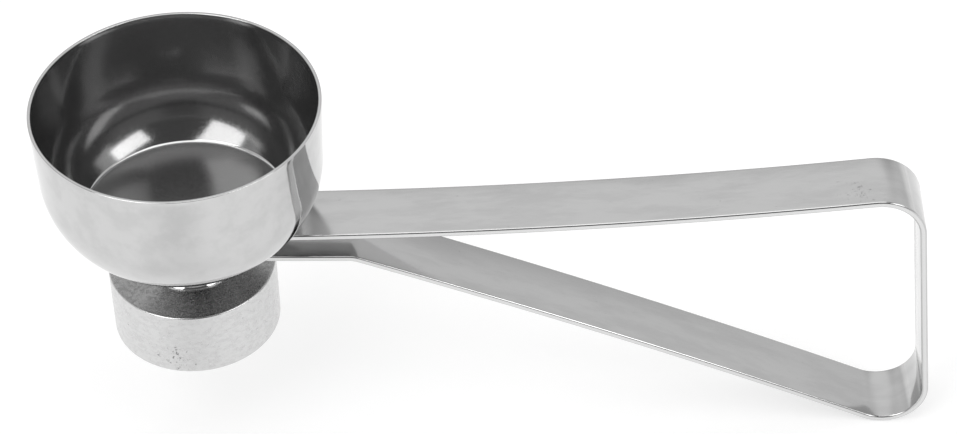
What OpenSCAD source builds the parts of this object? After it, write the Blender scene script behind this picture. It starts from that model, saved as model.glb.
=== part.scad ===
// Egg topper with a sprung loop handle.
// A big bell, mouth up, is riveted on the end of the upper arm of the handle.
// A small bell, mouth down, is carried by a stud on the end of the lower arm.
// The handle is one flat spring strip, bent into a narrow triangle.
// Squeezing the arms brings the striker rivet down on the head of the stud.
// Millimetres, +Z up. The origin is the middle of the small bell's mouth.
// +X runs from the bells to the handle's far end.

/* [Big bell] */
// Outer radius at the mouth
big_rim_r = 25.6; // [24:0.1:28]
// How much narrower the outer radius is at the shoulder
big_taper = 0.4; // [0.05:0.01:0.8]
// Height from the seat on the arm to the mouth
big_height = 26.15; // [23:0.05:32]
// Depth of the near straight part below the mouth
big_straight = 12.7; // [9:0.1:16]
// Radius of the floor, up to its corner
big_floor_r = 18.5; // [16:0.1:20]
// Radius of the outer corner round the floor
big_corner_r = 1.5; // [1:0.1:4]
// Wall thickness
big_wall = 0.6; // [0.5:0.05:1]
// Radius of the flat seat under the floor
big_seat_r = 7.5; // [6:0.1:9]
// Lift of the floor's edge above that seat
big_crown = 0.2; // [0.15:0.01:0.4]

/* [Small bell] */
// Outer radius
small_r = 15.35; // [14:0.05:18]
// Height from the mouth to the flat top
small_height = 13.5; // [11:0.1:18]
// Wall thickness of the side
small_wall = 0.8; // [0.6:0.05:1.5]
// Thickness of the flat top
small_top = 1; // [0.8:0.05:2]
// Chamfer round the edge of the flat top
small_edge = 0.35; // [0.1:0.05:0.6]
// Fillet inside, between the side and the top
small_inner_r = 1.2; // [0.6:0.1:2]

/* [Neck of the small bell] */
// Radius of the collar on the bell's top
collar_r = 8.1; // [6:0.1:10]
// Thickness of the collar
collar_t = 0.8; // [0.8:0.05:2]
// Chamfer round the collar's top
collar_edge = 0.6; // [0.2:0.05:0.7]
// Radius of the spacer sleeve between the collar and the lower arm
sleeve_r = 2.2; // [2:0.05:5.8]
// Length of the spacer sleeve
sleeve_h = 4.5; // [3:0.1:6]
// Radius of the stud
stud_r = 1.4; // [1:0.05:1.7]
// Radius of the stud's head, on the lower arm
stud_head_r = 3.4; // [2.8:0.1:4.5]
// Height of that head
stud_head_h = 0.6; // [0.4:0.05:1]
// Radius of the stud's riveted end, inside the bell
stud_end_r = 3; // [2.6:0.1:3.6]
// Height of that end
stud_end_h = 0.9; // [0.5:0.05:1.2]
// Radius of the washer inside the bell
washer_r = 4.5; // [3.8:0.1:6]
// Thickness of that washer
washer_t = 0.6; // [0.4:0.05:1]

/* [Striker rivet] */
// Radius of the rivet's shank
rivet_r = 1.5; // [1.2:0.05:2]
// Radius of its head in the big bell
rivet_top_r = 2; // [1.8:0.05:3]
// Height of the head in the big bell
rivet_top_h = 0.4; // [0.3:0.05:1]
// Radius of the striking head, under the upper arm
striker_r = 3.4; // [2.8:0.1:4.5]
// Height of the striking head
striker_h = 0.6; // [0.4:0.05:1]

/* [Spring handle] */
// Width of the strip
strip_w = 12.2; // [10:0.1:16]
// Thickness of the strip
strip_t = 1.2; // [0.9:0.05:1.4]
// Open space between the two arms at the bells
arm_gap = 3.75; // [3:0.05:6]
// Reach of the upper arm's flat end past the bells' axis
upper_flat = 8; // [7.6:0.1:10]
// Radius of the slight knee at the bell
knee_r = 300; // [200:10:500]
// Angle of that knee, in degrees
knee_angle = 0.9; // [0.4:0.05:1.5]
// Length of the upper arm's curve, from the knee to the top bend
upper_length = 110.5; // [90:0.5:130]
// Radius of the upper arm's curve
upper_curve_r = 980; // [800:10:1400]
// Outer radius of the top bend
top_bend_r = 8.6; // [6:0.1:12]
// Lean of the back, in degrees from upright
back_lean = 5.94; // [2:0.1:9]
// Outer radius of the bottom bend
bottom_bend_r = 8.2; // [6:0.1:12]
// Reach of the lower arm's flat end past the bells' axis
lower_flat = 29.1; // [20:0.1:36]
// Radius of the bend at the end of that flat, on its middle line
lower_bend_r = 5; // [4:0.5:18]
// Slope of the lower arm after that bend, in degrees
lower_slope = 21.5; // [18:0.1:24]
// How much steeper the lower arm is at the bottom bend, in degrees
lower_bow = 4.1; // [2:0.1:7]

/* [Fits] */
// Radial clearance of the rivet and the stud in their holes
hole_clear = 0.05; // [0.03:0.01:0.1]
// Space left across each bend where the strip flexes
flex_gap = 0.1; // [0.06:0.01:0.2]
// Chamfer on the edges of heads, sleeve and washer
small_chamfer = 0.2; // [0.1:0.05:0.3]

/* [Hidden] */
$fn = 96;
half_w = strip_w / 2;
half_t = strip_t / 2;
far = 400;

// Levels on the bells' axis, from the small bell's mouth upwards
collar_z = small_height;
sleeve_z = collar_z + collar_t;
lower_z = sleeve_z + sleeve_h;
lower_top_z = lower_z + strip_t;
upper_z = lower_top_z + arm_gap;
seat_z = upper_z + strip_t;
floor_z = seat_z + big_wall;
rim_z = seat_z + big_height;
washer_z = small_height - small_top - washer_t;

// A state on the strip's middle line is [x, z, heading]
function wrap_r(length, turn) = length / (turn * PI / 180);
function go(p, length, turn) =
    turn == 0
    ? [p[0] + length * cos(p[2]), p[1] + length * sin(p[2]), p[2]]
    : [p[0] + wrap_r(length, turn) * (sin(p[2] + turn) - sin(p[2])),
       p[1] - wrap_r(length, turn) * (cos(p[2] + turn) - cos(p[2])),
       p[2] + turn];
function run(p, length, turn, n) = [for (i = [0 : n]) go(p, length * i / n, turn * i / n)];
function arc_length(r, turn) = r * abs(turn) * PI / 180;

// Headings along the strip, going out on the upper arm and back on the lower one
top_mid_r = top_bend_r - half_t;
bottom_mid_r = bottom_bend_r - half_t;
upper_turn = upper_length / upper_curve_r * 180 / PI;
arm_heading = knee_angle + upper_turn;
back_heading = back_lean - 90;
low_heading = -180 - lower_slope - lower_bow;
top_turn = back_heading - arm_heading;
bottom_turn = low_heading - back_heading;

// Upper arm, from its rounded end to the top bend
u0 = [-half_w, upper_z + half_t, 0];
u1 = go(u0, half_w + upper_flat, 0);
u2 = go(u1, arc_length(knee_r, knee_angle), knee_angle);
u3 = go(u2, upper_length, upper_turn);
top_arc = arc_length(top_mid_r, top_turn);
u4 = go(u3, top_arc, top_turn);

// Lower arm, from its rounded end to the bottom bend
v0 = [-half_w, lower_z + half_t, 0];
v1 = go(v0, half_w + lower_flat, 0);
v2 = go(v1, arc_length(lower_bend_r, lower_slope), -lower_slope);

// The back and the lower arm are as long as it takes for the strip to close
back_dir = [cos(back_heading), sin(back_heading)];
bend_step = go([0, 0, back_heading], arc_length(bottom_mid_r, bottom_turn), bottom_turn);
low_step = go([0, 0, -lower_slope], 1, -lower_bow);
miss_x = v2[0] - u4[0] - bend_step[0];
miss_z = v2[1] - u4[1] - bend_step[1];
cross_d = low_step[0] * back_dir[1] - low_step[1] * back_dir[0];
back_length = (low_step[0] * miss_z - low_step[1] * miss_x) / cross_d;
low_length = (back_dir[0] * miss_z - back_dir[1] * miss_x) / cross_d;
v3 = go(v2, low_length, -lower_bow);
u5 = go(u4, back_length, 0);
bottom_arc = arc_length(bottom_mid_r, bottom_turn);

// The strip flexes in the middle of each bend, where these two axes lie
flex_top = go(u3, top_arc / 2, top_turn / 2);
flex_bottom = go(u5, bottom_arc / 2, bottom_turn / 2);
top_half = (top_arc - flex_gap) / 2;
top_half_turn = top_turn * top_half / top_arc;
bottom_half = (bottom_arc - flex_gap) / 2;
bottom_half_turn = bottom_turn * bottom_half / bottom_arc;
top_restart = go(u3, top_arc - top_half, top_turn - top_half_turn);

// The big bell's side is one arc, tangent to the straight part and to the floor's corner
side_r = big_rim_r - big_taper;
side_z = rim_z - big_straight;
corner_z = seat_z + big_crown + big_corner_r;
side_in = side_r - big_floor_r;
side_down = side_z - corner_z;
big_side_r = (pow(side_in, 2) + pow(side_down, 2) - pow(big_corner_r, 2))
    / (2 * (side_in - big_corner_r));
side_mid = side_r - big_side_r;
corner_angle = asin(side_down / (big_side_r - big_corner_r));

// Outer line of the bell, or its inner line when inset by the wall
function bell_line(inset) = concat(
    [[big_rim_r - inset, rim_z]],
    [for (i = [0 : 12]) let (a = corner_angle * i / 12)
        [side_mid + (big_side_r - inset) * cos(a), side_z - (big_side_r - inset) * sin(a)]],
    [for (i = [1 : 10]) let (a = corner_angle + (90 - corner_angle) * i / 10)
        [big_floor_r + max(big_corner_r - inset, 0.1) * cos(a),
         corner_z - max(big_corner_r - inset, 0.1) * sin(a)]],
    [[big_seat_r, seat_z + inset]]);
function flip(list) = [for (i = [len(list) - 1 : -1 : 0]) list[i]];

// A turned disc with both outer edges chamfered, and a hole unless hole is 0
module disc(r, h, z, hole = 0) {
    c = min(small_chamfer, h / 3);
    translate([0, 0, z])
        rotate_extrude()
            polygon([[hole, 0], [r - c, 0], [r, c], [r, h - c], [r - c, h], [hole, h]]);
}

// A length of the strip along a list of states on its middle line
module strip(states) {
    left = [for (s = states) [s[0] - half_t * sin(s[2]), s[1] + half_t * cos(s[2])]];
    right = [for (s = states) [s[0] + half_t * sin(s[2]), s[1] - half_t * cos(s[2])]];
    rotate([90, 0, 0])
        linear_extrude(height = strip_w, center = true)
            polygon(concat(left, flip(right)));
}

// Plan of an arm, with its end rounded about the bells' axis
module arm_plan() {
    translate([0, 0, -far / 2])
        linear_extrude(height = far) {
            circle(r = half_w);
            translate([0, -half_w])
                square([far, strip_w]);
        }
}

module big_bell() {
    color([0.78, 0.79, 0.80])
        rotate_extrude()
            polygon(concat(
                bell_line(0),
                [[rivet_r + hole_clear, seat_z]],
                [[rivet_r + hole_clear, floor_z]],
                flip(bell_line(big_wall))));
}

module small_bell() {
    inner = small_r - small_wall;
    roof = small_height - small_top;
    color([0.74, 0.75, 0.76])
        rotate_extrude()
            polygon(concat(
                [[inner, 0], [small_r, 0]],
                [[small_r, small_height - small_edge]],
                [[small_r - small_edge, small_height]],
                [[stud_r + hole_clear, small_height]],
                [[stud_r + hole_clear, roof]],
                [for (i = [0 : 6]) let (a = 90 - 90 * i / 6)
                    [inner - small_inner_r + small_inner_r * cos(a),
                     roof - small_inner_r + small_inner_r * sin(a)]]));
}

module upper_arm() {
    color([0.76, 0.77, 0.78])
        difference() {
            intersection() {
                strip(concat(
                    [u0],
                    run(u1, arc_length(knee_r, knee_angle), knee_angle, 3),
                    run(u2, upper_length, upper_turn, 18),
                    run(u3, top_half, top_half_turn, 8)));
                arm_plan();
            }
            translate([0, 0, upper_z - strip_t])
                cylinder(r = rivet_r + hole_clear, h = 3 * strip_t);
        }
}

module back_bow() {
    color([0.76, 0.77, 0.78])
        strip(concat(
            run(top_restart, top_half, top_half_turn, 8),
            run(u5, bottom_half, bottom_half_turn, 8)));
}

module lower_arm() {
    color([0.76, 0.77, 0.78])
        difference() {
            intersection() {
                strip(concat(
                    [v0],
                    run(v1, arc_length(lower_bend_r, lower_slope), -lower_slope, 8),
                    run(v2, low_length, -lower_bow, 16),
                    run(v3, bottom_half, -bottom_half_turn, 8)));
                arm_plan();
            }
            translate([0, 0, lower_z - strip_t])
                cylinder(r = stud_r + hole_clear, h = 3 * strip_t);
        }
}

// Shank, low head in the bell and flat striking head under the arm
module striker_rivet() {
    color([0.70, 0.71, 0.72]) {
        translate([0, 0, upper_z - striker_h / 2])
            cylinder(r = rivet_r, h = striker_h / 2 + strip_t + big_wall + rivet_top_h / 2);
        disc(striker_r, striker_h, upper_z - striker_h);
        disc(rivet_top_r, rivet_top_h, floor_z);
    }
}

// Shank from the head on the lower arm to the riveted end in the bell
module anvil_stud() {
    color([0.70, 0.71, 0.72]) {
        translate([0, 0, washer_z - stud_end_h / 2])
            cylinder(r = stud_r, h = lower_top_z + stud_head_h / 2 - washer_z + stud_end_h / 2);
        disc(stud_head_r, stud_head_h, lower_top_z);
        disc(stud_end_r, stud_end_h, washer_z - stud_end_h);
    }
}

module spacer_sleeve() {
    color([0.72, 0.73, 0.74])
        disc(sleeve_r, sleeve_h, sleeve_z, stud_r + hole_clear);
}

module bell_collar() {
    hole = stud_r + hole_clear;
    color([0.80, 0.81, 0.82])
        translate([0, 0, collar_z])
            rotate_extrude()
                polygon([[hole, 0], [collar_r, 0], [collar_r, collar_t - collar_edge],
                    [collar_r - collar_edge, collar_t], [hole, collar_t]]);
}

module inner_washer() {
    color([0.72, 0.73, 0.74])
        disc(washer_r, washer_t, washer_z, stud_r + hole_clear);
}

big_bell();
small_bell();
upper_arm();
back_bow();
lower_arm();
striker_rivet();
anvil_stud();
spacer_sleeve();
bell_collar();
inner_washer();
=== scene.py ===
"""An egg topper in polished stainless steel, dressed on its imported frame.

Two bells stand back to back on the ends of a bent spring strip. A rivet holds the big bell on
the upper arm, and a stud holds the small bell under the lower arm. The visible pieces follow the
sizes of the solids. Everything is in metres, in the frame's own axes: +Z up the bells' axis from
the small bell's mouth, +X out along the handle.
"""

import math

import bpy
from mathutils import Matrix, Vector


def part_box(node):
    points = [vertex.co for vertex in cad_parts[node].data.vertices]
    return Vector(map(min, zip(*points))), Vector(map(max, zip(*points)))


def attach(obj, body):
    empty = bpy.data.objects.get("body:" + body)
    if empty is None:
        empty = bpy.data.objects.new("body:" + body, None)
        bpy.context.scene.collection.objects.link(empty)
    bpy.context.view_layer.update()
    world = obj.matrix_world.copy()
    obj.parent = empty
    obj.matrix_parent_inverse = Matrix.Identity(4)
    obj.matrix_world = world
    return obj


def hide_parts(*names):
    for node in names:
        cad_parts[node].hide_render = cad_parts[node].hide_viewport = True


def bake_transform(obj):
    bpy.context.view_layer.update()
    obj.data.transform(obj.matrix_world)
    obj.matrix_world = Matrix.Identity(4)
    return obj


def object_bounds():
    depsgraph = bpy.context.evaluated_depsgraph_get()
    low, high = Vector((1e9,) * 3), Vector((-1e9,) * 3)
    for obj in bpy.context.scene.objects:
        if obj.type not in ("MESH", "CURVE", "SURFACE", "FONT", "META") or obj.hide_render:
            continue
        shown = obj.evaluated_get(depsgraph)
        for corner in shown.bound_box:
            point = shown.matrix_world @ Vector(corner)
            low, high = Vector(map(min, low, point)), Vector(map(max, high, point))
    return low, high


bl_info = {
    "name": "Egg topper",
    "version": (1, 0, 0),
    "blender": (4, 5, 0),
    "location": "3D View > Sidebar > Egg topper",
    "description": "Builds the bells, spring handle, rivets and studio of an egg topper",
    "category": "Object",
}

MM = 0.001
QUARTER = math.pi / 2
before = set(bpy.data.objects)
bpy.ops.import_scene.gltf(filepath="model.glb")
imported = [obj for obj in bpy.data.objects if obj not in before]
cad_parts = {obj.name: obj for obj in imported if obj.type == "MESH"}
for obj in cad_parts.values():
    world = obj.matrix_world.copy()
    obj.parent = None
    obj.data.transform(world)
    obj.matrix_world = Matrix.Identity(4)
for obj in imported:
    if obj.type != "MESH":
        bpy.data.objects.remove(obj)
CAD_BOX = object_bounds()
BIG_LOW, BIG_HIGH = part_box("big_bell")
SMALL_LOW, SMALL_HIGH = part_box("small_bell")
COLLAR_LOW, COLLAR_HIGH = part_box("bell_collar")
SLEEVE_LOW, SLEEVE_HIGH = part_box("spacer_sleeve")
WASHER_LOW, WASHER_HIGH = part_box("inner_washer")
RIVET_LOW, RIVET_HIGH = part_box("striker_rivet")
STUD_LOW, STUD_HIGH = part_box("anvil_stud")
ARM_LOW, ARM_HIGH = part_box("upper_arm")


def length(name, default, description):
    """A size in metres that a user can change."""
    return bpy.props.FloatProperty(
        name=name, description=description, default=default, min=0.0, subtype="DISTANCE",
        unit="LENGTH", precision=5)


def angle(name, default, description):
    """An angle that a user can change, its default in degrees."""
    return bpy.props.FloatProperty(
        name=name, description=description, default=math.radians(default), subtype="ANGLE",
        unit="ROTATION")


def factor(name, default, description):
    """A share or a brightness that a user can change, where 1 is white."""
    return bpy.props.FloatProperty(
        name=name, description=description, default=default, min=0.0, soft_max=1.0,
        subtype="FACTOR")


def linear(code):
    """An sRGB hex colour as linear red, green, blue and alpha."""
    parts = [int(code[i:i + 2], 16) / 255 for i in (1, 3, 5)]
    return [c / 12.92 if c <= 0.04045 else ((c + 0.055) / 1.055) ** 2.4 for c in parts] + [1.0]


class BellSizes(bpy.types.PropertyGroup):
    """The drawn big bell and the turned small bell"""

    big_radius: length("Big bell radius", BIG_HIGH.x, "Outer radius at the big bell's mouth")
    big_taper: length("Big bell taper", 0.4 * MM, "How much narrower it is at the shoulder")
    big_straight: length("Straight side", 12.7 * MM, "Depth of the nearly straight part")
    big_floor: length("Floor", 18.5 * MM, "Radius of the big bell's floor, up to its corner")
    corner: length("Floor corner", 1.5 * MM, "Outer radius round the big bell's floor")
    wall: length("Wall", 0.6 * MM, "Thickness of the big bell's wall")
    seat: length("Seat", 7.5 * MM, "Radius of the flat seat under the floor")
    crown: length("Crown", 0.2 * MM, "Lift of the floor's edge above the seat")
    rim: length("Rim band", 0.3 * MM, "Height of the polished band round the big bell's mouth")
    small_radius: length("Small bell radius", SMALL_HIGH.x, "Outer radius of the small bell")
    small_wall: length("Small bell wall", 0.8 * MM, "Thickness of the small bell's side")
    small_top: length("Small bell top", 1.0 * MM, "Thickness of the small bell's top")
    fillet: length("Inner fillet", 1.2 * MM, "Radius inside the small bell, under its top")
    edge: length("Top edge", 0.35 * MM, "Rounding of the small bell's top edge")
    lip: length("Lip", 0.14 * MM, "Rounding of the two mouths")


class FastenerSizes(bpy.types.PropertyGroup):
    """The rivet, the stud and the neck between the lower arm and the small bell"""

    collar_edge: length("Collar edge", 0.6 * MM, "Chamfer round the top of the neck's collar")
    fine: length("Fine edge", 0.06 * MM, "Softening of that chamfer's own two edges")
    rivet_shank: length("Rivet shank", 1.5 * MM, "Radius of the striker rivet's shank")
    rivet_top: length("Rivet top", 2 * MM, "Radius of its low head in the big bell")
    stud_shank: length("Stud shank", 1.4 * MM, "Radius of the anvil stud's shank")
    stud_end: length("Stud end", 3 * MM, "Radius of its riveted end in the small bell")
    soft: length("Softening", 0.2 * MM, "Rounding of the heads' edges")


class HandleSizes(bpy.types.PropertyGroup):
    """The strip and the bends that make it a loop"""

    width: length("Width", ARM_HIGH.y - ARM_LOW.y, "Width of the strip")
    thick: length("Thickness", 1.2 * MM, "Thickness of the strip")
    upper_flat: length("Upper flat", 8 * MM, "Reach of the upper flat end past the axis")
    knee: length("Knee radius", 300 * MM, "Radius of the slight knee at the bell")
    knee_angle: angle("Knee angle", 0.9, "Angle of that knee")
    upper_run: length("Upper arm", 110.5 * MM, "Length of the upper arm's curve")
    upper_curve: length("Upper curve", 980 * MM, "Radius of the upper arm's curve")
    top_bend: length("Top bend", 8.6 * MM, "Outer radius of the top bend")
    lean: angle("Lean", 5.94, "Lean of the back from upright")
    bottom_bend: length("Bottom bend", 8.2 * MM, "Outer radius of the bottom bend")
    lower_flat: length("Lower flat", 29.1 * MM, "Reach of the lower flat end past the axis")
    lower_bend: length("Lower bend", 5 * MM, "Radius of the bend at the end of that flat")
    slope: angle("Slope", 21.5, "Slope of the lower arm after that bend")
    bow: angle("Bow", 4.1, "How much steeper the lower arm is at the bottom bend")
    edge: length("Edge", 0.4 * MM, "Rounding of the strip's edges")


def colour(name, default, description):
    """A tint that a user can change, as sRGB hex."""
    return bpy.props.StringProperty(name=name, description=description, default=default)


class SteelColours(bpy.types.PropertyGroup):
    """The tints of the steel's finishes and of the floor"""

    mirror: colour("Polished steel", "#C9C9C9", "Tint of the polished steel, as sRGB hex")
    spun: colour("Spun steel", "#919191", "Tint of the big bell's inside, as sRGB hex")
    dull: colour("Clouded steel", "#C2C2C2", "Tint where the polish is clouded, as sRGB hex")
    turned: colour("Turned steel", "#D5D5D5", "Tint of the turned steel, as sRGB hex")
    tumbled: colour("Tumbled steel", "#CDCDCD", "Tint where tumbling dulled it, as sRGB hex")
    # The faced top's tints are darker than the turned side's, as painted shade, and their blotches
    # paint its mottled reflection over the facing's own tone.
    faced: colour("Faced steel", "#BFBFBF", "Tint of the small bell's faced top, as sRGB hex")
    marked: colour("Tool marks", "#A7A7A7", "Tint where the facing is darkest, as sRGB hex")
    side: colour("Strip edges", "#D8D8D8", "Tint of the strip's narrow edges, as sRGB hex")
    pit: colour("Pits", "#6E6E6E", "Tint in the ring's pits and scratches, as sRGB hex")
    speck: colour("Specks", "#AAAAAA", "Tint in the strip's shallow specks, as sRGB hex")
    paper: colour("Paper", "#B8B8B8", "Colour of the studio floor, as sRGB hex")


class StudioSettings(bpy.types.PropertyGroup):
    """The camera, the floor and the softboxes"""

    lens: bpy.props.FloatProperty(
        name="Lens", description="Focal length in millimetres", default=104.3, min=10.0)
    camera_place: bpy.props.FloatVectorProperty(
        name="Camera place", description="Where the camera stands, found from the two rims",
        default=(0.06037, -0.36577, 0.36443), subtype="TRANSLATION", unit="LENGTH")
    camera_turn: bpy.props.FloatVectorProperty(
        name="Camera turn", description="How the camera is turned from looking straight down",
        default=[math.radians(a) for a in (47.067, 0.68, 0.592)], subtype="EULER",
        unit="ROTATION")
    floor_white: factor("Floor white", 0.6, "Plain white that the seen floor has of itself")
    floor_far: factor("Far floor white", 0.95, "The same, from 1.6 m away")
    # A painted shade on the floor just before the bells, which their steel reflects.
    shade: factor("Floor shade", 0.13, "How much less white the floor is just before the bells")
    distance: length("Softbox distance", 0.9, "From the softboxes to the bells")
    side_light: factor("Side softboxes", 3.2, "Brightness of the two side softboxes, 1 is white")
    top_light: factor("Top softbox", 1.6, "Brightness of the softbox overhead, 1 is white")


# ---------------------------------------------------------------- drawing in edit mode

def fresh_edit(name):
    """Leaves one new object in edit mode, holding a single selected point at the origin."""
    bpy.ops.object.select_all(action="DESELECT")
    bpy.ops.mesh.primitive_plane_add(size=MM, location=(0, 0, 0))
    piece = bpy.context.object
    piece.name = name
    piece.data.name = name
    bpy.ops.object.mode_set(mode="EDIT")
    bpy.ops.mesh.select_mode(type="VERT")
    bpy.ops.mesh.select_all(action="SELECT")
    bpy.ops.mesh.merge(type="CENTER")
    return piece


def turn(name, profile, steps):
    """Draws a profile of (radius, height) points and spins it once round the bells' axis."""
    piece = fresh_edit(name)
    at = Vector((profile[0][0], 0, profile[0][1]))
    bpy.ops.transform.translate(value=at)
    for radius, height in profile[1:]:
        there = Vector((radius, 0, height))
        bpy.ops.mesh.extrude_region_move(TRANSFORM_OT_translate={"value": there - at})
        at = there
    bpy.ops.mesh.select_all(action="SELECT")
    bpy.ops.mesh.spin(steps=steps, angle=2 * math.pi, center=(0, 0, 0), axis=(0, 0, 1))
    bpy.ops.mesh.select_all(action="SELECT")
    bpy.ops.mesh.remove_doubles(threshold=0.002 * MM)
    bpy.ops.mesh.normals_make_consistent(inside=False)
    bpy.ops.object.mode_set(mode="OBJECT")
    return piece


def smooth(piece, sharp=math.radians(32)):
    """Shades a piece smooth, but for edges that turn by more than an angle."""
    bpy.ops.object.select_all(action="DESELECT")
    piece.select_set(True)
    bpy.context.view_layer.objects.active = piece
    bpy.ops.object.shade_smooth_by_angle(angle=sharp)


def curve(mid, radius, start, end, count):
    """Points on an arc, from one angle to another in radians, both ends included."""
    return [(mid[0] + radius * math.cos(start + (end - start) * i / count),
             mid[1] + radius * math.sin(start + (end - start) * i / count))
            for i in range(count + 1)]


def disc_profile(radius, low, high, soft):
    """The profile of a turned disc with rounded outer edges."""
    rounded_low = curve((radius - soft, low + soft), soft, -QUARTER, 0, 4)
    rounded_high = curve((radius - soft, high - soft), soft, 0, QUARTER, 4)
    return [(0, low)] + rounded_low + rounded_high + [(0, high)]


def dome(radius, base, rise):
    """Points over a riveted end, from its rim to its middle. One that hangs down has a rise
    below 0."""
    return [(radius * math.cos(k * QUARTER / 8), base + rise * math.sin(k * QUARTER / 8))
            for k in range(9)]


# ---------------------------------------------------------------- the strip

STRAIGHT = 1e-9  # a segment that bends by less than this, in radians, is straight
SHARP = math.radians(40)  # the strip's edges turn by more than this, its bends by less


def go(state, run, bend):
    """The state [x, z, heading] after a length of strip that bends evenly by an angle."""
    x, z, heading = state
    if abs(bend) < STRAIGHT:
        return (x + run * math.cos(heading), z + run * math.sin(heading), heading)
    radius = run / bend
    return (x + radius * (math.sin(heading + bend) - math.sin(heading)),
            z - radius * (math.cos(heading + bend) - math.cos(heading)), heading + bend)


def strip_line(sizes):
    """Where the strip starts, bends and closes, worked out the way it is bent up. A segment is
    its length, the angle that it bends by and the steps that it is drawn in. The lengths of the
    back and of the lower arm's bow are what closes the loop."""
    half_width, half_thick = sizes.width / 2, sizes.thick / 2
    back_heading = sizes.lean - QUARTER
    upper_start = (-half_width, BIG_LOW.z - half_thick, 0.0)
    upper = [(half_width + sizes.upper_flat, 0.0, 1),
             (sizes.knee * sizes.knee_angle, sizes.knee_angle, 3),
             (sizes.upper_run, sizes.upper_run / sizes.upper_curve, 28)]
    state = upper_start
    for run, bend, _ in upper:
        state = go(state, run, bend)
    top_from = state
    top_turn = back_heading - top_from[2]
    top_run = (sizes.top_bend - half_thick) * abs(top_turn)
    top_to = go(top_from, top_run, top_turn)
    lower_start = (-half_width, SLEEVE_HIGH.z + half_thick, 0.0)
    lower = [(half_width + sizes.lower_flat, 0.0, 1),
             (sizes.lower_bend * sizes.slope, -sizes.slope, 10)]
    state = lower_start
    for run, bend, _ in lower:
        state = go(state, run, bend)
    bow_from = state
    low_turn = back_heading + math.pi + sizes.slope + sizes.bow
    low_run = (sizes.bottom_bend - half_thick) * abs(low_turn)
    bend_step = go((0, 0, back_heading), low_run, -low_turn)
    bow_step = go((0, 0, -sizes.slope), 1.0, -sizes.bow)
    back = (math.cos(back_heading), math.sin(back_heading))
    miss = (bow_from[0] - top_to[0] - bend_step[0], bow_from[1] - top_to[1] - bend_step[1])
    cross = bow_step[0] * back[1] - bow_step[1] * back[0]
    back_run = (bow_step[0] * miss[1] - bow_step[1] * miss[0]) / cross
    bow_run = (back[0] * miss[1] - back[1] * miss[0]) / cross
    bow_to = go(bow_from, bow_run, -sizes.bow)
    half_back = (back_run / 2, 0.0, 1)
    upper += [(top_run, top_turn, 22), half_back]
    lower += [(bow_run, -sizes.bow, 24), (low_run, low_turn, 22), half_back]
    return {"upper": (upper_start, upper), "lower": (lower_start, lower),
            "top": (top_from, top_to), "bottom": (go(top_to, back_run, 0.0), bow_to)}


def select_end(mesh, start_x, corners_only):
    """Selects the edges round the strip's free end, or only the upright ones at its corners."""
    close = 0.001 * MM
    for edge in mesh.edges:
        a, b = (mesh.vertices[i].co for i in edge.vertices)
        at_end = a.x < start_x + close and b.x < start_x + close
        edge.select = at_end and (not corners_only or abs(a.y - b.y) < close)


def round_strip(piece, start_x, sizes):
    """Closes the strip's ends, and rounds its free end and then its edges. The free end has two
    corners, each rounded by just short of half the width, so that they don't meet."""
    select_end(piece.data, start_x, False)
    bpy.ops.object.mode_set(mode="EDIT")
    bpy.ops.mesh.edge_face_add()
    bpy.ops.mesh.select_all(action="DESELECT")
    bpy.ops.object.mode_set(mode="OBJECT")
    select_end(piece.data, start_x, True)
    bpy.ops.object.mode_set(mode="EDIT")
    just_short = 0.995
    bpy.ops.mesh.bevel(offset=sizes.width / 2 * just_short, segments=16, affect="EDGES")
    bpy.ops.mesh.select_all(action="SELECT")
    bpy.ops.mesh.normals_make_consistent(inside=False)
    bpy.ops.mesh.select_all(action="DESELECT")
    bpy.ops.mesh.edges_select_sharp(sharpness=SHARP)
    bpy.ops.mesh.bevel(offset=sizes.edge, segments=6, affect="EDGES")
    bpy.ops.mesh.select_all(action="DESELECT")
    bpy.ops.mesh.select_non_manifold()
    bpy.ops.mesh.edge_face_add()
    bpy.ops.mesh.select_all(action="SELECT")
    bpy.ops.mesh.normals_make_consistent(inside=False)
    bpy.ops.object.mode_set(mode="OBJECT")


def bend_strip(name, start, segments, sizes):
    """Pulls the strip's section along its middle line, from its free end to the open end half
    way down the back, and rounds it."""
    bpy.ops.object.select_all(action="DESELECT")
    bpy.ops.mesh.primitive_plane_add(size=1, location=(0, 0, 0))
    piece = bpy.context.object
    piece.name = name
    piece.data.name = name
    bpy.ops.object.mode_set(mode="EDIT")
    bpy.ops.mesh.select_mode(type="EDGE")
    bpy.ops.mesh.select_all(action="SELECT")
    bpy.ops.mesh.delete(type="ONLY_FACE")
    bpy.ops.mesh.select_all(action="SELECT")
    bpy.ops.transform.resize(value=(sizes.thick, sizes.width, 1), center_override=(0, 0, 0))
    bpy.ops.transform.rotate(value=QUARTER, orient_axis="Y", center_override=(0, 0, 0))
    bpy.ops.transform.translate(value=(start[0], 0, start[1]))
    state = start
    for run, bend, count in segments:
        after = go(state, run, bend)
        if abs(bend) < STRAIGHT:
            move = (after[0] - state[0], 0, after[1] - state[1])
            bpy.ops.mesh.extrude_region_move(TRANSFORM_OT_translate={"value": move})
        else:
            radius = run / bend
            middle = (state[0] - radius * math.sin(state[2]), 0,
                      state[1] + radius * math.cos(state[2]))
            bpy.ops.mesh.spin(steps=count, angle=bend, center=middle, axis=(0, 1, 0))
        state = after
    bpy.ops.mesh.select_all(action="DESELECT")
    bpy.ops.object.mode_set(mode="OBJECT")
    round_strip(piece, start[0], sizes)
    return piece


# ---------------------------------------------------------------- finishes

# The sockets of a Mix node that mixes colours: its share, its two colours and its result.
SHARE, COLOUR_A, COLOUR_B, MIXED = 0, 6, 7, 2


def add(tree, kind, settings=None, inputs=None):
    """Adds a node. Settings are its own options, inputs are values or sockets to link."""
    node = tree.nodes.new(kind)
    for name, value in (settings or {}).items():
        setattr(node, name, value)
    for name, value in (inputs or {}).items():
        if isinstance(value, bpy.types.NodeSocket):
            tree.links.new(value, node.inputs[name])
        else:
            node.inputs[name].default_value = value
    return node


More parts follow.
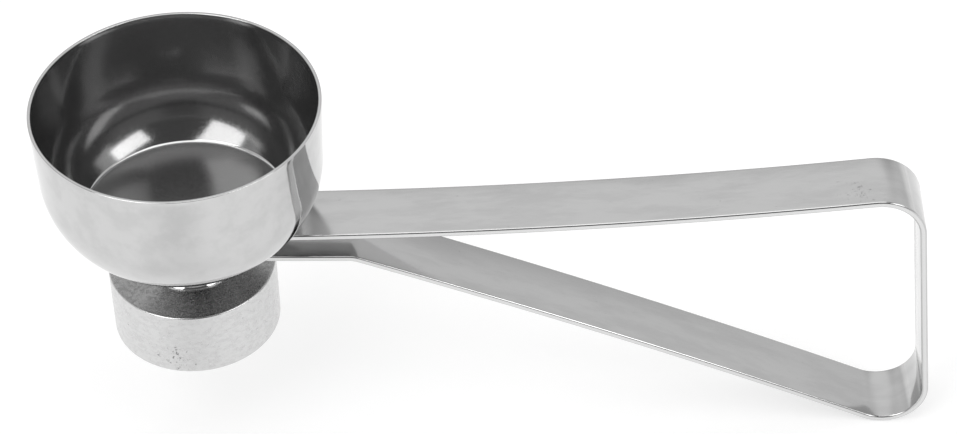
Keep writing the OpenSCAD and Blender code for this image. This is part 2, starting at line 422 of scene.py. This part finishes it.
def steel(name, tint, rough, bump_mm):
    """A plain stainless steel. Gives its material and tree, its shader, its piece's own
    coordinates in metres and a bump of so many mm that still needs a height."""
    material = bpy.data.materials.new(name)
    material.use_nodes = True
    tree = material.node_tree
    tree.nodes.clear()
    shader = add(tree, "ShaderNodeBsdfPrincipled", None,
                 {"Base Color": linear(tint), "Metallic": 1.0, "Roughness": rough})
    add(tree, "ShaderNodeOutputMaterial", None, {"Surface": shader.outputs["BSDF"]})
    place = add(tree, "ShaderNodeTexCoord")
    bump = add(tree, "ShaderNodeBump", None, {"Strength": 1.0, "Distance": bump_mm * MM})
    tree.links.new(bump.outputs["Normal"], shader.inputs["Normal"])
    return material, tree, shader, place.outputs["Object"], bump


def per_mm(spacing):
    """The scale of a texture on metre coordinates that gives one feature each so many mm."""
    return 1.0 / (spacing * MM)


def cloud(tree, place, shader, spacing, tints, rough):
    """Cloudy patches of a duller polish, as sweeps of the buffing wheel leave them. The tints
    and the roughness are each given clear and dull. Gives the tint, for pits to be laid over."""
    patches = add(tree, "ShaderNodeTexNoise", None,
                  {"Vector": place, "Scale": per_mm(spacing), "Detail": 4.0, "Roughness": 0.6})
    spread = add(tree, "ShaderNodeMapRange", {"interpolation_type": "SMOOTHSTEP"},
                 {"Value": patches.outputs["Fac"], "From Min": 0.38, "From Max": 0.66})
    tint = add(tree, "ShaderNodeMix", {"data_type": "RGBA"},
               {SHARE: spread.outputs["Result"], COLOUR_A: linear(tints[0]),
                COLOUR_B: linear(tints[1])})
    blur = add(tree, "ShaderNodeMapRange", None,
               {"Value": spread.outputs["Result"], "To Min": rough[0], "To Max": rough[1]})
    tree.links.new(tint.outputs[MIXED], shader.inputs["Base Color"])
    tree.links.new(blur.outputs["Result"], shader.inputs["Roughness"])
    return tint.outputs[MIXED]


def pits(tree, place, shader, tint, pit, spacing, spot, reach):
    """Small dark pits and scratches, thinly spread, that crowd round one knocked spot, within
    reach of it. Drawn coarser than the real ones, which the photograph hardly resolves. Gives
    the grain that they come from."""
    grain = add(tree, "ShaderNodeTexNoise", None,
                {"Vector": place, "Scale": per_mm(spacing), "Detail": 4.0, "Roughness": 0.7})
    knock = add(tree, "ShaderNodeVectorMath", {"operation": "DISTANCE"}, {0: place, 1: spot})
    worn = add(tree, "ShaderNodeMapRange", None,
               {"Value": knock.outputs["Value"], "From Min": 0.0, "From Max": reach,
                "To Min": 0.14, "To Max": 0.0})
    depth = add(tree, "ShaderNodeMath", {"operation": "ADD"},
                {0: grain.outputs["Fac"], 1: worn.outputs["Result"]})
    deep = add(tree, "ShaderNodeMapRange", None,
               {"Value": depth.outputs[0], "From Min": 0.68, "From Max": 0.73})
    marked = add(tree, "ShaderNodeMix", {"data_type": "RGBA"},
                 {SHARE: deep.outputs["Result"], COLOUR_A: tint, COLOUR_B: linear(pit)})
    tree.links.new(marked.outputs[MIXED], shader.inputs["Base Color"])
    return grain.outputs["Fac"]


def tool_marks(tree, place, spacing, detail):
    """Fine marks that run round the bells' axis, as a lathe leaves them, drawn over radius and
    height. Gives their height and the direction out from the axis."""
    flat = add(tree, "ShaderNodeVectorMath", {"operation": "MULTIPLY"},
               {0: place, 1: (1.0, 1.0, 0.0)})
    radius = add(tree, "ShaderNodeVectorMath", {"operation": "LENGTH"}, {0: flat.outputs[0]})
    parts = add(tree, "ShaderNodeSeparateXYZ", None, {0: place})
    round_place = add(tree, "ShaderNodeCombineXYZ", None,
                      {"X": radius.outputs["Value"], "Y": parts.outputs["Z"]})
    marks = add(tree, "ShaderNodeTexNoise", {"noise_dimensions": "2D"},
                {"Vector": round_place.outputs[0], "Scale": per_mm(spacing), "Detail": detail})
    return marks.outputs["Fac"], flat.outputs[0]


def polished_stainless(colours):
    """Deep drawn sheet, mirror polished. Crisp reflections, clouded a little by the buffing
    wheel, that waver where the drawing left the sheet uneven."""
    material, tree, shader, place, bump = steel(
        "Mirror polished stainless", colours.mirror, rough=0.05, bump_mm=0.02)
    cloud(tree, place, shader, spacing=5.0, tints=(colours.mirror, colours.dull),
          rough=(0.045, 0.085))
    waves = add(tree, "ShaderNodeTexNoise", None,
                {"Vector": place, "Scale": per_mm(7.0), "Detail": 1.0})
    tree.links.new(waves.outputs["Fac"], bump.inputs["Height"])
    return material


def spun_stainless(colours):
    """The bowl's inside, spun and then buffed. Nearly a mirror, under a haze of fine scratches
    that lifts its darks, with a grain that speckles the edge of a highlight. The floor, which
    the buffing wheel hardly reaches, blurs more than the side."""
    material, tree, shader, place, bump = steel(
        "Spun buffed stainless", colours.spun, rough=0.12, bump_mm=0.0008)
    shader.inputs["Metallic"].default_value = 0.9
    marks, _ = tool_marks(tree, place, spacing=0.9, detail=3.0)
    grain = add(tree, "ShaderNodeTexNoise", None,
                {"Vector": place, "Scale": per_mm(0.45), "Detail": 2.0})
    side = add(tree, "ShaderNodeMapRange", None,
               {"Value": grain.outputs["Fac"], "From Min": 0.4, "From Max": 0.6,
                "To Min": 0.11, "To Max": 0.16})
    height = add(tree, "ShaderNodeSeparateXYZ", None, {0: place})
    floor_top = BIG_LOW.z + 0.8 * MM
    floor = add(tree, "ShaderNodeMapRange", None,
                {"Value": height.outputs["Z"], "From Min": floor_top,
                 "From Max": floor_top + 0.3 * MM, "To Min": 0.11, "To Max": 0.0})
    rough = add(tree, "ShaderNodeMath", {"operation": "ADD"},
                {0: side.outputs["Result"], 1: floor.outputs["Result"]})
    tree.links.new(rough.outputs[0], shader.inputs["Roughness"])
    both = add(tree, "ShaderNodeMath", {"operation": "MULTIPLY_ADD"},
               {0: marks, 1: 0.35, 2: grain.outputs["Fac"]})
    tree.links.new(both.outputs[0], bump.inputs["Height"])
    return material


def strip_stainless(colours):
    """Rolled spring strip, polished before bending. Bright, with faint streaks along the strip,
    sharp only in what lies close to it, and a few specks where grit has marked it."""
    material, tree, shader, place, bump = steel(
        "Polished spring strip", colours.mirror, rough=0.14, bump_mm=0.006)
    rolled = add(tree, "ShaderNodeVectorMath", {"operation": "MULTIPLY"},
                 {0: place, 1: (0.3, 1.0, 0.3)}).outputs[0]
    tint = cloud(tree, rolled, shader, spacing=4.0, tints=(colours.mirror, colours.dull),
                 rough=(0.12, 0.16))
    pits(tree, place, shader, tint, colours.speck, spacing=0.6, spot=Vector((120, -3, 32.7)) * MM,
         reach=6 * MM)
    waves = add(tree, "ShaderNodeTexNoise", None,
                {"Vector": place, "Scale": per_mm(12.0), "Detail": 2.0})
    tree.links.new(waves.outputs["Fac"], bump.inputs["Height"])
    return material


def strip_edge(colours):
    """The strip's narrow edges, rounded by tumbling. Paler and softer than the polished faces,
    with a fine grain that breaks up what they reflect."""
    material, tree, _, place, bump = steel(
        "Tumbled strip edge", colours.side, rough=0.2, bump_mm=0.004)
    grain = add(tree, "ShaderNodeTexNoise", None,
                {"Vector": place, "Scale": per_mm(0.8), "Detail": 3.0})
    tree.links.new(grain.outputs["Fac"], bump.inputs["Height"])
    return material


def turned_side(colours):
    """The small bell's side, turned from bar and tumbled. Satin, with a fine mottle drawn out
    round the side, and pits and short scratches that crowd where it has been knocked."""
    material, tree, shader, place, bump = steel(
        "Tumbled turned stainless", colours.turned, rough=0.24, bump_mm=0.007)
    drawn = add(tree, "ShaderNodeVectorMath", {"operation": "MULTIPLY"},
                {0: place, 1: (1.0, 1.0, 1.6)}).outputs[0]
    tint = cloud(tree, drawn, shader, spacing=1.3, tints=(colours.turned, colours.tumbled),
                 rough=(0.22, 0.28))
    grain = pits(tree, place, shader, tint, colours.pit, spacing=0.7,
                 spot=Vector((-2.6, -15.1, 3.0)) * MM, reach=5 * MM)
    tree.links.new(grain, bump.inputs["Height"])
    return material


def turned_face(colours):
    """The small bell's flat top, faced on a lathe. The round tool marks draw every reflection
    out along the radius, and the marks themselves show faintly. Its tints are darker than
    the side's, as painted shade, and their blotches paint its mottled reflection."""
    material, tree, shader, place, bump = steel(
        "Lathe faced stainless", colours.faced, rough=0.27, bump_mm=0.004)
    # Painted shade and painted reflection: darker tints in blotches stand in for the top's dark,
    # mottled reflection.
    cloud(tree, place, shader, spacing=0.8, tints=(colours.faced, colours.marked),
          rough=(0.24, 0.3))
    marks, radial = tool_marks(tree, place, spacing=0.35, detail=3.0)
    shader.inputs["Anisotropic"].default_value = 0.9
    tree.links.new(radial, shader.inputs["Tangent"])
    tree.links.new(marks, bump.inputs["Height"])
    return material


def buffed_stainless(colours):
    """Small turned parts of the neck and the rivets, buffed bright, with faint tool marks."""
    material, tree, _, place, bump = steel(
        "Buffed turned stainless", colours.mirror, rough=0.08, bump_mm=0.003)
    marks, _ = tool_marks(tree, place, spacing=0.3, detail=2.0)
    tree.links.new(marks, bump.inputs["Height"])
    return material


FINISHES = {}


def finish(piece, body, slot, nodes, *names):
    """Gives a piece its finishes and names the body and solids that it stands for. The slot is not
    used.
    """
    piece.data.materials.clear()
    for name in names:
        piece.data.materials.append(FINISHES[name])
    if body:
        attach(piece, body)
    if nodes:
        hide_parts(*nodes)


def make_finishes():
    """Makes the finishes once, by the names that the pieces ask for."""
    if FINISHES:
        return
    colours = bpy.context.scene.steel_colours
    FINISHES["polished"] = polished_stainless(colours)
    FINISHES["spun"] = spun_stainless(colours)
    FINISHES["strip"] = strip_stainless(colours)
    FINISHES["strip_edge"] = strip_edge(colours)
    FINISHES["turned_side"] = turned_side(colours)
    FINISHES["turned_face"] = turned_face(colours)
    FINISHES["buffed"] = buffed_stainless(colours)


# ---------------------------------------------------------------- the pieces

def bowl_line(sizes, inset):
    """The big bell's outer line from seat to mouth, or its inner line when inset. The side is
    an arc that runs smoothly into the floor's corner and into the straight wall above."""
    side_r = sizes.big_radius - sizes.big_taper
    side_z = BIG_HIGH.z - sizes.big_straight
    corner_z = BIG_LOW.z + sizes.crown + sizes.corner
    across, down = side_r - sizes.big_floor, side_z - corner_z
    side_curve = (across ** 2 + down ** 2 - sizes.corner ** 2) / (2 * (across - sizes.corner))
    low = math.asin(down / (side_curve - sizes.corner))
    seat = [(sizes.seat * k, BIG_LOW.z + inset) for k in (0.0, 0.5, 0.96)]
    slope = [(sizes.seat + (sizes.big_floor - sizes.seat) * k, BIG_LOW.z + inset + sizes.crown * k)
             for k in (0.04, 0.35, 0.7, 0.97)]
    corner = curve((sizes.big_floor, corner_z), sizes.corner - inset, -QUARTER, -low, 12)
    side = curve((side_r - side_curve, side_z), side_curve - inset, -low, 0, 24)
    wall = [(side_r - inset + sizes.big_taper * k, side_z + sizes.big_straight * k)
            for k in (0.2, 0.45, 0.7, 0.9)]
    return seat + slope + corner + side[1:] + wall


class EGG_OT_big_bell(bpy.types.Operator):
    """Adds the deep bell that stands mouth up on the upper arm"""

    bl_idname = "egg.big_bell"
    bl_label = "Big bell"

    def execute(self, context):
        make_finishes()
        sizes = context.scene.bell_sizes
        outer = bowl_line(sizes, 0.0)
        inner = bowl_line(sizes, sizes.wall)
        lip = sizes.lip
        mouth = BIG_HIGH.z - lip
        rim_out = curve((sizes.big_radius - lip, mouth), lip, 0, QUARTER, 4)
        rim_in = curve((sizes.big_radius - sizes.wall + lip, mouth), lip, QUARTER, 2 * QUARTER, 4)
        bell = turn("big_bell_bowl", outer + rim_out + rim_in + inner[::-1], steps=160)
        smooth(bell)
        finish(bell, "upper_half", "polished_bell", ["big_bell"], "polished", "spun")
        corner_top = BIG_LOW.z + sizes.crown + sizes.corner * 0.6
        side_foot = BIG_LOW.z + 4 * MM
        level = 1e-7  # a face that looks neither in nor out by more than this is level
        for face in bell.data.polygons:
            outward = face.normal.x * face.center.x + face.normal.y * face.center.y
            on_floor = face.normal.z > 0.5 and face.center.z < side_foot
            radius = math.hypot(face.center.x, face.center.y)
            corner = radius > sizes.big_floor and face.center.z < corner_top
            polished = corner or face.center.z > BIG_HIGH.z - sizes.rim
            spun = (outward < -level or on_floor) and not polished
            face.material_index = 1 if spun else 0
        return {"FINISHED"}


class EGG_OT_small_bell(bpy.types.Operator):
    """Adds the short bell that hangs mouth down under the lower arm"""

    bl_idname = "egg.small_bell"
    bl_label = "Small bell"

    def execute(self, context):
        make_finishes()
        sizes = context.scene.bell_sizes
        radius, edge, lip, fillet = sizes.small_radius, sizes.edge, sizes.lip, sizes.fillet
        top = SMALL_HIGH.z
        roof = top - sizes.small_top
        inner = radius - sizes.small_wall
        outside = [(0, top), (radius * 0.5, top), (radius - 2 * edge, top)]
        outside += curve((radius - edge, top - edge), edge, QUARTER, 0, 6)
        outside += [(radius, top - 2 * edge), (radius, 3 * lip)]
        outside += curve((radius - lip, lip), lip, 0, -QUARTER, 4)
        inside = curve((inner + lip, lip), lip, -QUARTER, -2 * QUARTER, 4)
        inside += curve((inner - fillet, roof - fillet), fillet, 0, QUARTER, 8)
        inside += [(inner - fillet - 0.8 * MM, roof), (0, roof)]
        bell = turn("small_bell_cap", outside + inside, steps=128)
        smooth(bell)
        finish(bell, "lower_half", "turned_bell", ["small_bell"], "turned_side", "turned_face")
        for face in bell.data.polygons:
            face.material_index = 1 if face.normal.z > 0.9 else 0
        return {"FINISHED"}


class EGG_OT_neck(bpy.types.Operator):
    """Adds the collar, spacer sleeve and inner washer that carry the small bell"""

    bl_idname = "egg.neck"
    bl_label = "Neck"

    def execute(self, context):
        make_finishes()
        sizes = context.scene.fastener_sizes
        radius, low, high = COLLAR_HIGH.x, COLLAR_LOW.z, COLLAR_HIGH.z
        edge, fine = sizes.collar_edge, sizes.fine
        # Three points soften each of the chamfer's own two edges.
        wall_end = [(radius, high - edge - fine), (radius - 0.3 * fine, high - edge),
                    (radius - fine, high - edge + fine)]
        top_end = [(radius - edge + fine, high - fine), (radius - edge, high - 0.3 * fine),
                   (radius - edge - fine, high)]
        collar_line = [(0, low), (radius, low)] + wall_end + top_end
        collar_line += [(radius * 0.5, high), (0, high)]
        collar = turn("neck_collar", collar_line, steps=128)
        sleeve = turn("neck_sleeve", disc_profile(
            SLEEVE_HIGH.x, SLEEVE_LOW.z, SLEEVE_HIGH.z, sizes.soft), steps=64)
        washer = turn("inner_washer_disc", disc_profile(
            WASHER_HIGH.x, WASHER_LOW.z, WASHER_HIGH.z, sizes.soft / 2), steps=64)
        for piece, node, slot in ((collar, "bell_collar", "turned_bell"),
                                  (sleeve, "spacer_sleeve", "hardware"),
                                  (washer, "inner_washer", "hardware")):
            smooth(piece)
            finish(piece, "lower_half", slot, [node], "buffed")
        return {"FINISHED"}


class EGG_OT_fasteners(bpy.types.Operator):
    """Adds the striker rivet under the big bell and the stud that it strikes"""

    bl_idname = "egg.fasteners"
    bl_label = "Rivet and stud"

    def execute(self, context):
        make_finishes()
        sizes = context.scene.fastener_sizes
        soft = sizes.soft
        thick = context.scene.handle_sizes.thick
        floor = BIG_LOW.z + context.scene.bell_sizes.wall
        under = BIG_LOW.z - thick
        head = RIVET_HIGH.x
        rivet_line = [(0, RIVET_LOW.z), (head * 0.6, RIVET_LOW.z)]
        rivet_line += curve((head - soft, RIVET_LOW.z + soft), soft, -QUARTER, 0, 4)
        rivet_line += [(head, under), (sizes.rivet_shank, under), (sizes.rivet_shank, floor)]
        rivet_line += dome(sizes.rivet_top, floor, RIVET_HIGH.z - floor)
        rivet = turn("striker_rivet_body", rivet_line, steps=64)
        smooth(rivet)
        finish(rivet, "upper_half", "hardware", ["striker_rivet"], "buffed", "spun")
        for face in rivet.data.polygons:
            face.material_index = 1 if face.center.z > floor else 0
        arm_top = SLEEVE_HIGH.z + thick
        end_top = WASHER_LOW.z
        head = STUD_HIGH.x
        stud_line = dome(sizes.stud_end, end_top, STUD_LOW.z - end_top)[::-1]
        stud_line += [(sizes.stud_shank, end_top), (sizes.stud_shank, arm_top), (head, arm_top)]
        stud_line += curve((head - soft, STUD_HIGH.z - soft), soft, 0, QUARTER, 4)
        stud_line += [(head * 0.6, STUD_HIGH.z), (0, STUD_HIGH.z)]
        stud = turn("anvil_stud_body", stud_line, steps=64)
        smooth(stud)
        finish(stud, "lower_half", "hardware", ["anvil_stud"], "buffed")
        return {"FINISHED"}


class EGG_OT_handle(bpy.types.Operator):
    """Adds the spring strip in two lengths that meet half way down its back"""

    bl_idname = "egg.handle"
    bl_label = "Spring handle"

    def execute(self, context):
        make_finishes()
        sizes = context.scene.handle_sizes
        line = strip_line(sizes)
        upper = bend_strip("handle_upper", *line["upper"], sizes)
        finish(upper, None, "spring_strip", ["upper_arm", "back_bow"], "strip", "strip_edge")
        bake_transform(upper)
        lower = bend_strip("handle_lower", *line["lower"], sizes)
        finish(lower, None, "spring_strip", ["lower_arm"], "strip", "strip_edge")
        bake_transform(lower)
        for piece in (upper, lower):
            smooth(piece, SHARP)
            for face in piece.data.polygons:
                face.material_index = 1 if abs(face.normal.y) > 0.97 else 0
        return {"FINISHED"}


# ---------------------------------------------------------------- the studio

def front_shade(tree, place, amount):
    """Painted shade: how much less white the floor is just before the bells, as their steel shows
    it.
    It is the whole amount at the middle of a soft patch, which lies a little before the axis."""
    before_axis = 0.075
    half_width = 0.045
    full_half_depth, half_depth = 0.025, 0.055
    before = add(tree, "ShaderNodeVectorMath", {"operation": "ADD"},
                 {0: place, 1: (0.0, before_axis, 0.0)})
    either = add(tree, "ShaderNodeVectorMath", {"operation": "ABSOLUTE"}, {0: before.outputs[0]})
    parts = add(tree, "ShaderNodeSeparateXYZ", None, {0: either.outputs[0]})
    across = add(tree, "ShaderNodeMapRange", {"interpolation_type": "SMOOTHSTEP"},
                 {"Value": parts.outputs["X"], "From Min": 0.0, "From Max": half_width,
                  "To Min": amount, "To Max": 0.0})
    along = add(tree, "ShaderNodeMapRange", {"interpolation_type": "SMOOTHSTEP"},
                {"Value": parts.outputs["Y"], "From Min": full_half_depth,
                 "From Max": half_depth, "To Min": 1.0, "To Max": 0.0})
    return add(tree, "ShaderNodeMath", {"operation": "MULTIPLY"},
               {0: across.outputs["Result"], 1: along.outputs["Result"]}).outputs[0]


def paper_floor(paper, white, far, shade):
    """A floor of matt white paper. Seen by the camera or in steel, a share of it is plain
    white, and the rest takes the light and the tool's shadow. That share grows with the
    distance, so that the floor ends in no edge, and is cut by a patch of painted shade just
    before the bells."""
    grows_from, grows_to = 0.4, 1.6
    bpy.ops.object.select_all(action="DESELECT")
    bpy.ops.mesh.primitive_plane_add(size=6, location=(0, 0, CAD_BOX[0][2]))
    floor = bpy.context.object
    floor.name = "studio_floor"
    material = bpy.data.materials.new("Matt white studio paper")
    material.use_nodes = True
    tree = material.node_tree
    tree.nodes.clear()
    matt = add(tree, "ShaderNodeBsdfDiffuse", None, {"Color": linear(paper)})
    glow = add(tree, "ShaderNodeEmission")
    path = add(tree, "ShaderNodeLightPath")
    shiny = add(tree, "ShaderNodeMath", {"operation": "MAXIMUM"},
                {0: path.outputs["Is Camera Ray"], 1: path.outputs["Is Glossy Ray"]})
    seen = add(tree, "ShaderNodeMath", {"operation": "MAXIMUM"},
               {0: shiny.outputs[0], 1: path.outputs["Is Transmission Ray"]})
    place = add(tree, "ShaderNodeTexCoord").outputs["Object"]
    away = add(tree, "ShaderNodeVectorMath", {"operation": "LENGTH"}, {0: place})
    plain = add(tree, "ShaderNodeMapRange", None,
                {"Value": away.outputs["Value"], "From Min": grows_from, "From Max": grows_to,
                 "To Min": white, "To Max": far})
    # Painted shade: the plain white share is cut in a soft patch just before the bells.
    left = add(tree, "ShaderNodeMath", {"operation": "SUBTRACT"},
               {0: plain.outputs["Result"], 1: front_shade(tree, place, shade)})
    share = add(tree, "ShaderNodeMath", {"operation": "MULTIPLY"},
                {0: seen.outputs[0], 1: left.outputs[0]})
    tree.links.new(share.outputs[0], glow.inputs["Strength"])
    both = add(tree, "ShaderNodeAddShader", None, {0: matt.outputs[0], 1: glow.outputs[0]})
    add(tree, "ShaderNodeOutputMaterial", None, {"Surface": both.outputs[0]})
    floor.data.materials.append(material)
    return floor


def room_side(tree, height, stops):
    """The brightness of one side of the room. A stop is how many degrees above the horizon it
    lies and the brightness there, where 1 is white. The height is the sine of that angle."""
    ramp = add(tree, "ShaderNodeValToRGB", None, {"Fac": height})
    elements = ramp.color_ramp.elements
    while len(elements) < len(stops):
        elements.new(0.5)
    for element, (rise, level) in zip(elements, stops):
        element.position = math.sin(math.radians(rise))
        element.color = (level, level, level, 1)
    return ramp.outputs["Color"]


def studio_room():
    """The surroundings, as the steel shows them: a white backdrop behind, with a dimmer band
    across it, pale sides, a dark ceiling and camera side, and white at the horizon all round."""
    world = bpy.data.worlds.new("White studio")
    world.use_nodes = True
    tree = world.node_tree
    tree.nodes.clear()
    where = add(tree, "ShaderNodeTexCoord")
    parts = add(tree, "ShaderNodeSeparateXYZ", None, {0: where.outputs["Generated"]})
    height = parts.outputs["Z"]
    flat = add(tree, "ShaderNodeVectorMath", {"operation": "MULTIPLY"},
               {0: where.outputs["Generated"], 1: (1.0, 1.0, 0.0)})
    towards = add(tree, "ShaderNodeVectorMath", {"operation": "NORMALIZE"}, {0: flat.outputs[0]})
    rear = add(tree, "ShaderNodeSeparateXYZ", None, {0: towards.outputs[0]}).outputs["Y"]
    back = room_side(tree, height, (
        (0, 1.0), (5, 1.0), (12, 0.35), (25, 0.35), (37, 0.9), (60, 0.9), (76, 0.1)))
    side = room_side(tree, height, (
        (0, 1.0), (5, 1.0), (12, 0.72), (28, 0.8), (40, 0.76), (60, 0.62), (76, 0.1)))
    front = room_side(tree, height, (
        (0, 1.0), (5, 1.0), (12, 0.3), (28, 0.1), (76, 0.1)))
    to_side = add(tree, "ShaderNodeMapRange", {"interpolation_type": "SMOOTHSTEP"},
                  {"Value": rear, "From Min": -0.85, "From Max": -0.1})
    to_back = add(tree, "ShaderNodeMapRange", {"interpolation_type": "SMOOTHSTEP"},
                  {"Value": rear, "From Min": 0.78, "From Max": 0.98})
    nearer = add(tree, "ShaderNodeMix", {"data_type": "RGBA"},
                 {SHARE: to_side.outputs["Result"], COLOUR_A: front, COLOUR_B: side})
    whole = add(tree, "ShaderNodeMix", {"data_type": "RGBA"},
                {SHARE: to_back.outputs["Result"], COLOUR_A: nearer.outputs[MIXED],
                 COLOUR_B: back})
    room = add(tree, "ShaderNodeBackground", None, {"Color": whole.outputs[MIXED]})
    add(tree, "ShaderNodeOutputWorld", None, {"Surface": room.outputs[0]})
    return world


def softbox(name, aim, turn_by, rise, away, size, bright):
    """A softbox that faces the tool, turned from the camera's side towards +X. Its size is
    (width, height), and its brightness is 1 where it looks as bright as white paper."""
    towards = Vector((math.sin(turn_by) * math.cos(rise), -math.cos(turn_by) * math.cos(rise),
                      math.sin(rise)))
    bpy.ops.object.light_add(type="AREA", location=aim + towards * away)
    light = bpy.context.object
    light.name = name
    light.data.shape = "RECTANGLE"
    light.data.size, light.data.size_y = size
    light.data.energy = bright * math.pi * size[0] * size[1]
    light.rotation_euler = towards.to_track_quat("Z", "Y").to_euler()


class EGG_OT_studio(bpy.types.Operator):
    """Adds the pale floor, the soft lights, the surroundings and the camera"""

    bl_idname = "egg.studio"
    bl_label = "Studio"

    def execute(self, context):
        studio = context.scene.studio
        paper = context.scene.steel_colours.paper
        paper_floor(paper, studio.floor_white, studio.floor_far, studio.shade)
        context.scene.world = studio_room()
        middle = Vector((0, 0, 30 * MM))
        for name, turn_by, rise, size, bright in (
                ("left_softbox", -40, 46, (0.5, 0.58), studio.side_light),
                ("right_softbox", 61, 39, (0.5, 0.26), studio.side_light),
                ("top_softbox", 0, 90, (0.75, 0.75), studio.top_light)):
            softbox(name, middle, math.radians(turn_by), math.radians(rise), studio.distance, size,
                    bright)
        bpy.ops.object.camera_add(location=studio.camera_place, rotation=studio.camera_turn)
        camera = context.object
        camera.data.lens = studio.lens
        camera.data.sensor_width = 36.0
        camera.data.clip_start = 0.01
        context.scene.camera = camera
        context.scene.view_settings.view_transform = "Standard"
        return {"FINISHED"}


class EGG_PT_panel(bpy.types.Panel):
    """Lists the tool's sizes and the buttons that build its pieces"""

    bl_idname = "EGG_PT_panel"
    bl_label = "Egg topper"
    bl_space_type = "VIEW_3D"
    bl_region_type = "UI"
    bl_category = "Egg topper"

    def draw(self, context):
        layout = self.layout
        scene = context.scene
        for title, group in (("Bells", scene.bell_sizes), ("Fasteners", scene.fastener_sizes),
                             ("Handle", scene.handle_sizes), ("Steel", scene.steel_colours),
                             ("Studio", scene.studio)):
            box = layout.box()
            box.label(text=title)
            for name in group.bl_rna.properties.keys():
                if name not in ("rna_type", "name"):
                    box.prop(group, name)
        for operator in OPERATORS:
            layout.operator(operator.bl_idname)


OPERATORS = (EGG_OT_big_bell, EGG_OT_small_bell, EGG_OT_neck, EGG_OT_fasteners, EGG_OT_handle,
             EGG_OT_studio)
GROUPS = {"bell_sizes": BellSizes, "fastener_sizes": FastenerSizes,
          "handle_sizes": HandleSizes, "steel_colours": SteelColours, "studio": StudioSettings}


def register():
    for group in GROUPS.values():
        bpy.utils.register_class(group)
    for operator in OPERATORS:
        bpy.utils.register_class(operator)
    bpy.utils.register_class(EGG_PT_panel)
    for name, group in GROUPS.items():
        setattr(bpy.types.Scene, name, bpy.props.PointerProperty(type=group))


def unregister():
    for name in GROUPS:
        delattr(bpy.types.Scene, name)
    bpy.utils.unregister_class(EGG_PT_panel)
    for operator in OPERATORS:
        bpy.utils.unregister_class(operator)
    for group in GROUPS.values():
        bpy.utils.unregister_class(group)


def main():
    register()
    bpy.ops.egg.big_bell()
    bpy.ops.egg.small_bell()
    bpy.ops.egg.neck()
    bpy.ops.egg.fasteners()
    bpy.ops.egg.handle()
    bpy.ops.egg.studio()


if __name__ == "__main__":
    main()
